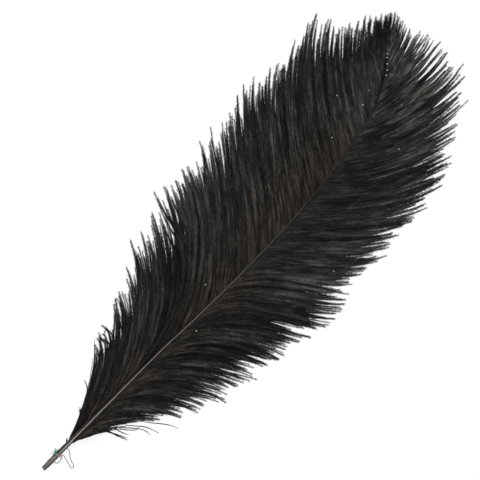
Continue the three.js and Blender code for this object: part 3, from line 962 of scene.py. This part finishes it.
# The rings of the hollow end: how deep each lies, and its share of the shaft's radius.
HOLLOW_RINGS = [(4.0, 0.05), (2.0, RIM_SHARE), (0.3, RIM_SHARE), (0.0, RIM_SHARE), (0.0, 0.97)]
FIRST_RING_AT, LAST_RING_SHARE = 0.25, 0.05
OVAL = 0.94
CUT_SLANT, CUT_SHIFT, CUT_LENGTH = 0.16, 0.3, 5
GRAIN, BARE_GRAIN = 0.008, 0.025
GROOVE_DEPTH, GROOVE_HALF_ANGLE, GROOVE_DEEPENS = 0.18, 0.35, (30, 60)


def shaft_piece():
    """Quill and shaft in one sweep, from the bottom of the hollow end to the hair at the tip."""
    rng = np.random.default_rng(SHAFT_SEED)
    depths, inner = np.transpose(HOLLOW_RINGS)
    distance = np.concatenate([depths, np.linspace(FIRST_RING_AT, SHAFT_LENGTH, SHAFT_RINGS)])
    scale = np.concatenate([inner, np.ones(SHAFT_RINGS)])
    scale[-1] = LAST_RING_SHARE
    radius = along(SHAFT_RADIUS, distance) * scale
    angle = np.linspace(0, 2 * np.pi, SHAFT_SIDES, endpoint=False)[None]
    forward, left, up = shaft_axes(distance)
    bare = 1 - smoothstep(BARE_QUILL - 2, BARE_QUILL + 4, distance)[:, None]
    grain = 1 + (GRAIN + BARE_GRAIN * bare) * rng.standard_normal((len(distance), SHAFT_SIDES))
    underneath = np.exp(-(((angle - 1.5 * np.pi) / GROOVE_HALF_ANGLE) ** 2))
    groove = 1 - GROOVE_DEPTH * underneath * smoothstep(*GROOVE_DEEPENS, distance)[:, None]
    span = (radius[:, None] * grain * groove)[..., None]
    points = shaft_point(distance)[:, None] + span * (
        left[:, None] * np.cos(angle)[..., None] + up[:, None] * OVAL * np.sin(angle)[..., None]
    )
    near_cut = (1 - smoothstep(0, CUT_LENGTH, distance))[:, None]
    slant = np.cos(angle) * radius[:, None] * CUT_SLANT * near_cut
    in_cut = (distance < CUT_LENGTH)[:, None, None]
    points += forward[:, None] * (slant + CUT_SHIFT)[..., None] * in_cut
    index = np.arange(points.shape[0] * SHAFT_SIDES).reshape(-1, SHAFT_SIDES)
    turned = np.roll(index, -1, axis=1)
    quads = np.stack([index[:-1], turned[:-1], turned[1:], index[1:]], axis=-1).reshape(-1, 4)
    caps = [index[:1, ::-1], index[-1:]]
    alongs = np.repeat(distance / SHAFT_LENGTH, SHAFT_SIDES)
    tones = shaft_tone(distance, np.broadcast_to(angle, grain.shape), rng)
    rows = np.broadcast_to(angle / (2 * np.pi), grain.shape).ravel()
    tube = (points.reshape(-1, 3), [quads, *caps], alongs, tones.ravel(), rows)
    return make_piece("shaft", *join_parts([tube, *fleck_parts()]))


shaft = shaft_piece()
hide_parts("feather")

# %% [markdown]
# ## Threads
# A green thread is knotted round the quill, and a thin grey one lies beside it in two loops. Both
# are tubes swept along a line. A thread is plies twisted together, so each tube has grooves between
# its plies that turn as it goes along. The grey one is a free cord: its route repeats the one in
# the model, and its length is that of the route.

# %% Thread meshes
LOOSE_THREAD_DIAMETER = 0.5
LOOSE_THREAD_LINE = [
    (9.6, -0.6, 0.5), (9.1, -1.5, 0.32), (8.9, -2.5, 0.25), (9.3, -3.4, 0.25), (10.2, -4.0, 0.25),
    (11.4, -4.2, 0.25), (12.7, -4.0, 0.25), (13.7, -3.45, 0.25), (14.47, -2.77, 0.26),
    (15.19, -2.41, 0.27), (15.98, -2.57, 0.27), (16.5, -3.17, 0.27), (16.56, -3.97, 0.26),
    (16.34, -4.84, 0.25), (15.75, -6.9, 0.25), (15.15, -9.0, 0.25), (14.55, -11.0, 0.25),
    (14.19, -12.18, 0.25), (14.23, -12.93, 0.25), (14.68, -13.52, 0.25), (15.4, -13.75, 0.25),
    (16.12, -13.52, 0.25), (16.57, -12.93, 0.25), (16.86, -12.13, 0.25), (17.5, -10.1, 0.25),
    (18.7, -7.6, 0.25), (20.6, -5.2, 0.25), (21.7, -3.6, 0.28), (22.0, -2.2, 0.45), (21.5, -0.8, 0.9),
]
THREAD_SIDES = 12
THREAD_SMOOTHING = 12
THREAD_END_SHARE = 0.6
PLIES, PLY_DEPTH, TWIST_LENGTH = 2, 0.2, 1.3
UPRIGHT = 0.9
GREY_TONE = 0.5


def thread_tube(line, diameter, row, tone):
    """A closed tube along a line, as a part for join_parts."""
    forward = unit(np.gradient(line, axis=0))
    upright = abs(forward[:, 2:]) > UPRIGHT
    across = unit(np.cross(forward, np.where(upright, [[1.0, 0, 0]], [[0, 0, 1.0]])))
    out = np.cross(across, forward)
    angle = np.linspace(0, 2 * np.pi, THREAD_SIDES, endpoint=False)[None, :, None]
    ring = across[:, None] * np.cos(angle) + out[:, None] * np.sin(angle)
    size = np.full(len(line), diameter / 2)
    size[[0, -1]] *= THREAD_END_SHARE
    twist = distances_of(line)[:, None, None] / TWIST_LENGTH * 2 * np.pi
    groove = 1 - PLY_DEPTH * (0.5 + 0.5 * np.cos(PLIES * angle - twist)) ** 3
    points = line[:, None] + ring * size[:, None, None] * groove
    index = np.arange(len(line) * THREAD_SIDES).reshape(-1, THREAD_SIDES)
    turned = np.roll(index, -1, axis=1)
    quads = np.stack([index[:-1], index[1:], turned[1:], turned[:-1]], axis=-1).reshape(-1, 4)
    share = np.repeat(np.linspace(0, 1, len(line)), THREAD_SIDES)
    tones = np.repeat(np.broadcast_to(tone, len(line)), THREAD_SIDES)
    rows = np.tile(row + np.linspace(0.1, 0.9, THREAD_SIDES), len(line))
    return points.reshape(-1, 3), [quads, index[:1], index[-1:, ::-1]], share, tones, rows


loose_line = smooth_line(LOOSE_THREAD_LINE, THREAD_SMOOTHING)
loose_tube = thread_tube(loose_line, LOOSE_THREAD_DIAMETER, 0, GREY_TONE)
loose_thread = make_piece("loose_thread_line", *loose_tube)
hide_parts("loose_thread")

# %% [markdown]
# ## The knot
# Three turns of the green thread go round the quill and end in a knot on its left, with a small
# loop and frayed ends. Some of it is pink: its turns on the quill's right, a frayed end, a strand
# that crosses over the quill, and one that trails down its right side. Simulating a knot would be
# slow and hard to steer, so each strand gets a few points of its own.

# %% Knotted thread
KNOT_TURNS, TURN_STEPS = 3, 20
KNOT_DIAMETER, LOOP_DIAMETER = 0.42, 0.42 * 1.4
END_DIAMETER, OVER_DIAMETER, TRAILING_DIAMETER = 0.4, 0.45, 0.35
STRAND_SMOOTHING = 8
KNOT_ASIDE, KNOT_ABOVE = 1.5, 1.2
LOOP_RADIUS, LOOP_SWAY, LOOP_TONE, LOOP_STEPS = 0.45, 0.25, 0.1, 24
PINK, TRAILING_PINK = 1.0, 0.8
WRAP_TONE, WRAP_PINK = 0.1, 0.7
END_RISE, END_ASIDE = 0.3, 0.2
# Each frayed end: how far its tip lies ahead of the knot, to its left and above, and its tone.
KNOT_ENDS = [
    (2.2, 2.9, -0.6, 0.05), (1.3, 2.3, -0.2, 0.1), (2.7, 1.7, -0.4, 0.15), (0.4, 2.3, -0.3, 0.0),
    (-0.6, 2.4, -0.8, 0.1), (-1.6, 1.6, -0.6, 0.2), (-2.4, 0.7, -0.4, 0.1), (-3.2, 2.7, -1.0, 0.9),
    (3.1, 0.7, -0.2, 0.35), (0.8, 1.3, 0.3, 0.05),
]
TRAILING_LINE = [(16.2, -0.9, 2.6), (16.3, -1.9, 1.5), (15.3, -2.9, 0.8), (13.8, -4.0, 0.45)]


def knot_parts():
    """The turns, the frayed ends, the loop and the pink strands, each a tube of its own."""
    forward, left, up = shaft_axes(np.array(KNOT_AT))
    centre = shaft_point(np.array(KNOT_AT))
    radius = float(along(SHAFT_RADIUS, np.array(KNOT_AT))) + KNOT_DIAMETER * 0.45
    turn = np.linspace(0, KNOT_TURNS * 2 * np.pi, KNOT_TURNS * TURN_STEPS)[:, None]
    drift = (turn / turn[-1] - 0.5) * KNOT_DIAMETER * (KNOT_TURNS + 0.2)
    wrap = centre + (left * np.cos(turn) + up * np.sin(turn)) * radius + forward * drift
    wrap_tone = WRAP_TONE + WRAP_PINK * smoothstep(-0.3, 0.1, -np.cos(turn[:, 0]))
    parts = [thread_tube(wrap, KNOT_DIAMETER, 0, wrap_tone)]

    def strand(points, diameter, tone):
        line = smooth_line(points, STRAND_SMOOTHING)
        parts.append(thread_tube(line, diameter, len(parts), tone))

    knot = centre + left * KNOT_ASIDE + up * KNOT_ABOVE
    for ahead, aside, rise, tone in KNOT_ENDS:
        tip = knot + forward * ahead + left * aside + up * rise
        bow = (knot + tip) / 2 + up * END_RISE + left * END_ASIDE
        strand([knot, bow, tip], END_DIAMETER, tone)
    round_it = np.linspace(0, 2 * np.pi, LOOP_STEPS)[:, None]
    loop = knot + LOOP_RADIUS * (forward * np.cos(round_it) + up * np.sin(round_it))
    loop = loop + left * LOOP_SWAY * np.sin(2 * round_it)
    parts.append(thread_tube(loop, LOOP_DIAMETER, len(parts), LOOP_TONE))
    over_the_quill = [
        centre + left * 0.3 + up * (radius + 0.1) + forward * 0.2,
        centre - left * 0.9 + up * (radius - 0.35) + forward * 0.5,
        centre - left * (radius + 0.1) - up * 0.1 + forward * 0.9,
    ]
    strand(over_the_quill, OVER_DIAMETER, PINK)
    strand(TRAILING_LINE, TRAILING_DIAMETER, TRAILING_PINK)
    return parts


knot = knot_parts()
points, faces, alongs, tones, places = join_parts(knot)
knotted_thread = make_piece(
    "knotted_thread_turns", points, faces, alongs, tones, places / len(knot)
)
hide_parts("knotted_thread")

# %% [markdown]
# ## Colour
# The plume is dyed nearly black. Up close the dye is uneven, and some barbs are a shade lighter
# over part of their length. The stems are painted lighter than their barbules, a painted sheen
# that shows as a warm grey. The same uneven grain belongs to the quill and the threads, so it is
# one node group with its own inputs: it mixes a deep and a pale colour by the mesh's tone and some
# noise, and gives the noise out as a height. The shader that it feeds stays in each material, where
# the height also makes the roughness vary and raises a fine relief on the quill and the threads.

# %% Uneven dye, a group for every fibre
NOISE_DETAIL = 3


def uneven_dye():
    """The node group that mixes a deep and a pale colour by tone and noise."""
    group = bpy.data.node_groups.new("uneven dye", "ShaderNodeTree")
    for label, kind in (
        ("Deep", "NodeSocketColor"), ("Pale", "NodeSocketColor"), ("Tone", "NodeSocketFloat"),
        ("Grain", "NodeSocketFloat"), ("Scale", "NodeSocketFloat"), ("Stretch", "NodeSocketVector"),
    ):
        group.interface.new_socket(label, in_out="INPUT", socket_type=kind)
    group.interface.new_socket("Color", in_out="OUTPUT", socket_type="NodeSocketColor")
    group.interface.new_socket("Height", in_out="OUTPUT", socket_type="NodeSocketFloat")
    nodes, links = group.nodes, group.links
    ins, outs = nodes.new("NodeGroupInput"), nodes.new("NodeGroupOutput")
    place = nodes.new("ShaderNodeTexCoord")
    noise = nodes.new("ShaderNodeTexNoise")
    noise.inputs["Detail"].default_value = NOISE_DETAIL
    stretch = nodes.new("ShaderNodeMapping")
    links.new(place.outputs["Object"], stretch.inputs["Vector"])
    links.new(ins.outputs["Stretch"], stretch.inputs["Scale"])
    links.new(stretch.outputs["Vector"], noise.inputs["Vector"])
    links.new(ins.outputs["Scale"], noise.inputs["Scale"])
    spread = nodes.new("ShaderNodeMath")
    spread.operation = "MULTIPLY_ADD"
    centred = nodes.new("ShaderNodeMath")
    centred.operation = "SUBTRACT"
    centred.inputs[1].default_value = 0.5
    links.new(noise.outputs["Fac"], centred.inputs[0])
    links.new(centred.outputs[0], spread.inputs[0])
    links.new(ins.outputs["Grain"], spread.inputs[1])
    links.new(ins.outputs["Tone"], spread.inputs[2])
    mix = nodes.new("ShaderNodeMix")
    mix.data_type = "RGBA"
    links.new(spread.outputs[0], mix.inputs["Factor"])
    links.new(ins.outputs["Deep"], mix.inputs["A"])
    links.new(ins.outputs["Pale"], mix.inputs["B"])
    links.new(mix.outputs["Result"], outs.inputs["Color"])
    links.new(noise.outputs["Fac"], outs.inputs["Height"])
    return group


DYE = uneven_dye()

# %% Fibre materials
ROUGHNESS_SPREAD = 0.1
NOISE_RANGE = (0.3, 0.7)
FADE_RANGE = (0.05, 0.6)


def set_range(node, before, after):
    """Sets the two ranges of a Map Range node."""
    node.inputs["From Min"].default_value, node.inputs["From Max"].default_value = before
    node.inputs["To Min"].default_value, node.inputs["To Max"].default_value = after


def fibre_material(
    name, deep, pale, grain, scale, roughness, specular, tone_curve=1, far=None, relief=0, stretch=1
):
    """A Principled shader fed by the uneven dye, with the mesh's own tone bent by a curve.

    A second pale colour, where one is given, takes over from the first along each strand.
    Relief is how deep the grain is in millimetres, and stretch how dense it is along the shaft."""
    material = bpy.data.materials.new(name)
    material.use_nodes = True
    nodes, links = material.node_tree.nodes, material.node_tree.links
    shader = nodes["Principled BSDF"]
    shader.inputs["Specular IOR Level"].default_value = specular
    tone = nodes.new("ShaderNodeAttribute")
    tone.attribute_name = "tone"
    curve = nodes.new("ShaderNodeMath")
    curve.operation = "POWER"
    curve.inputs[1].default_value = tone_curve
    dye = nodes.new("ShaderNodeGroup")
    dye.node_tree = DYE
    dye.inputs["Deep"].default_value = (*deep, 1)
    dye.inputs["Pale"].default_value = (*pale, 1)
    dye.inputs["Grain"].default_value = grain
    dye.inputs["Scale"].default_value = scale
    dye.inputs["Stretch"].default_value = (stretch, 1, 1)
    worn = nodes.new("ShaderNodeMapRange")
    set_range(worn, NOISE_RANGE, (roughness - ROUGHNESS_SPREAD, roughness + ROUGHNESS_SPREAD))
    links.new(dye.outputs["Height"], worn.inputs["Value"])
    links.new(worn.outputs["Result"], shader.inputs["Roughness"])
    if relief:
        bump = nodes.new("ShaderNodeBump")
        bump.inputs["Distance"].default_value = relief * MM
        links.new(dye.outputs["Height"], bump.inputs["Height"])
        links.new(bump.outputs["Normal"], shader.inputs["Normal"])
    if far:
        way = nodes.new("ShaderNodeAttribute")
        way.attribute_name = "fade"
        fade = nodes.new("ShaderNodeMapRange")
        set_range(fade, FADE_RANGE, (0, 1))
        blend = nodes.new("ShaderNodeMix")
        blend.data_type = "RGBA"
        blend.inputs["A"].default_value = (*pale, 1)
        blend.inputs["B"].default_value = (*far, 1)
        links.new(way.outputs["Fac"], fade.inputs["Value"])
        links.new(fade.outputs["Result"], blend.inputs["Factor"])
        links.new(blend.outputs["Result"], dye.inputs["Pale"])
    links.new(tone.outputs["Fac"], curve.inputs[0])
    links.new(curve.outputs[0], dye.inputs["Tone"])
    links.new(dye.outputs["Color"], shader.inputs["Base Color"])
    return material


barb_material = fibre_material(
    "dyed_barb", deep=(0.0072, 0.0062, 0.0053), pale=(0.204, 0.165, 0.132),
    far=(0.179, 0.1675, 0.1555), grain=0.12, scale=420, roughness=0.6, specular=0.1, tone_curve=2.2,
)
quill_material = fibre_material(
    "dyed_quill", deep=(0.012, 0.011, 0.0105), pale=(0.64, 0.58, 0.55),
    grain=0.14, scale=1800, roughness=0.45, specular=0.15, relief=0.12, stretch=0.1,
)
green_material = fibre_material(
    "green_thread", deep=(0.015, 0.26, 0.15), pale=(0.5, 0.25, 0.245),
    grain=0.15, scale=2500, roughness=0.8, specular=0.2, relief=0.08,
)
grey_material = fibre_material(
    "grey_thread", deep=(0.03, 0.03, 0.029), pale=(0.14, 0.137, 0.132),
    grain=0.6, scale=2500, roughness=0.8, specular=0.2, relief=0.08,
)
for piece in barb_pieces:
    piece.data.materials.append(barb_material)
shaft.data.materials.append(quill_material)
knotted_thread.data.materials.append(green_material)
loose_thread.data.materials.append(grey_material)
print("dressed", len(barb_pieces), "barb pieces, the shaft and two threads")

# %% [markdown]
# ## Floor, light and camera
# The plume lies on a plain white table. Most of the table's white is a glow of its own, so that the
# lamps leave only a faint shadow on it. A wide lamp hangs above it, and a weaker one fills in from
# the other side. The sky lights everything evenly. Seen directly it would look grey past the edge
# of the table, so the Light Path node makes it brighter for the camera alone. The camera looks
# straight down from two metres with a long lens, so there is hardly any perspective, and is turned
# so that the shaft runs from the lower left to the upper right.

# %% Table and sky
FLOOR_REACH = 4.0
FLOOR_HEIGHT = -0.0002
TABLE_GREY, TABLE_ROUGHNESS, TABLE_GLOW = 0.16, 0.9, 0.85
WHITE = (1, 1, 1, 1)
SKY_LIGHT, SKY_EXTRA_IF_SEEN = 0.5, 0.5

floor_mesh = bpy.data.meshes.new("floor")
corners = [
    (FLOOR_REACH * x, FLOOR_REACH * y, FLOOR_HEIGHT) for x, y in ((-1, -1), (1, -1), (1, 1), (-1, 1))
]
floor_mesh.from_pydata(corners, [], [(0, 1, 2, 3)])
floor = bpy.data.objects.new("floor", floor_mesh)
bpy.context.scene.collection.objects.link(floor)
floor_material = bpy.data.materials.new("white_table")
floor_material.use_nodes = True
table_shader = floor_material.node_tree.nodes["Principled BSDF"]
table_shader.inputs["Base Color"].default_value = (TABLE_GREY, TABLE_GREY, TABLE_GREY, 1)
table_shader.inputs["Roughness"].default_value = TABLE_ROUGHNESS
table_shader.inputs["Emission Color"].default_value = WHITE
table_shader.inputs["Emission Strength"].default_value = TABLE_GLOW
floor_mesh.materials.append(floor_material)
floor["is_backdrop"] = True

world = bpy.data.worlds.new("studio")
bpy.context.scene.world = world
world.use_nodes = True
sky_nodes, sky_links = world.node_tree.nodes, world.node_tree.links
sky_nodes["Background"].inputs["Color"].default_value = WHITE
looked_at = sky_nodes.new("ShaderNodeLightPath")
brightness = sky_nodes.new("ShaderNodeMath")
brightness.operation = "MULTIPLY_ADD"
brightness.inputs[1].default_value = SKY_EXTRA_IF_SEEN
brightness.inputs[2].default_value = SKY_LIGHT
sky_links.new(looked_at.outputs["Is Camera Ray"], brightness.inputs[0])
sky_links.new(brightness.outputs[0], sky_nodes["Background"].inputs["Strength"])

# %% Lamps
def soft_light(name, place, size, power):
    """A square area light that faces the plume."""
    lamp = bpy.data.lights.new(name, "AREA")
    lamp.size = size
    lamp.energy = power
    holder = bpy.data.objects.new(name, lamp)
    bpy.context.scene.collection.objects.link(holder)
    holder.location = place
    holder.rotation_euler = (-Vector(place)).to_track_quat("-Z", "Y").to_euler()


soft_light("key_light", place=(-0.3, 1.0, 1.5), size=1.0, power=20)
soft_light("fill_light", place=(0.8, -0.9, 1.8), size=1.6, power=6)

# %% Camera
IMAGE_SIZE = 480
MM_PER_PIXEL = 0.6924
QUILL_PIXEL = (43.4, 469.2)
CAMERA_HEIGHT = 2.0
CAMERA_TURN = -np.pi / 4
SENSOR = 36.0

right = np.array([1, -1, 0]) / np.sqrt(2)
up = np.array([1, 1, 0]) / np.sqrt(2)
half = IMAGE_SIZE / 2
aim = (right * (half - QUILL_PIXEL[0]) + up * (QUILL_PIXEL[1] - half)) * MM_PER_PIXEL
aim_row = to_row(aim)
camera_data = bpy.data.cameras.new("overhead_camera")
camera_data.sensor_width = SENSOR
camera_data.lens = SENSOR * CAMERA_HEIGHT / (IMAGE_SIZE * MM_PER_PIXEL * MM)
camera = bpy.data.objects.new("overhead_camera", camera_data)
camera.location = (aim_row[0], aim_row[1], CAMERA_HEIGHT)
camera.rotation_euler = (0, 0, CAMERA_TURN)
bpy.context.scene.collection.objects.link(camera)
bpy.context.scene.camera = camera
bpy.context.scene.view_settings.view_transform = "Standard"
print("camera at", [round(v, 4) for v in camera.location], "lens", round(camera_data.lens, 1), "mm")

# %% Write the sizes and finish
low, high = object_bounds()
print("dressed box in mm:", [round(v / MM, 1) for v in (*low, *high)])
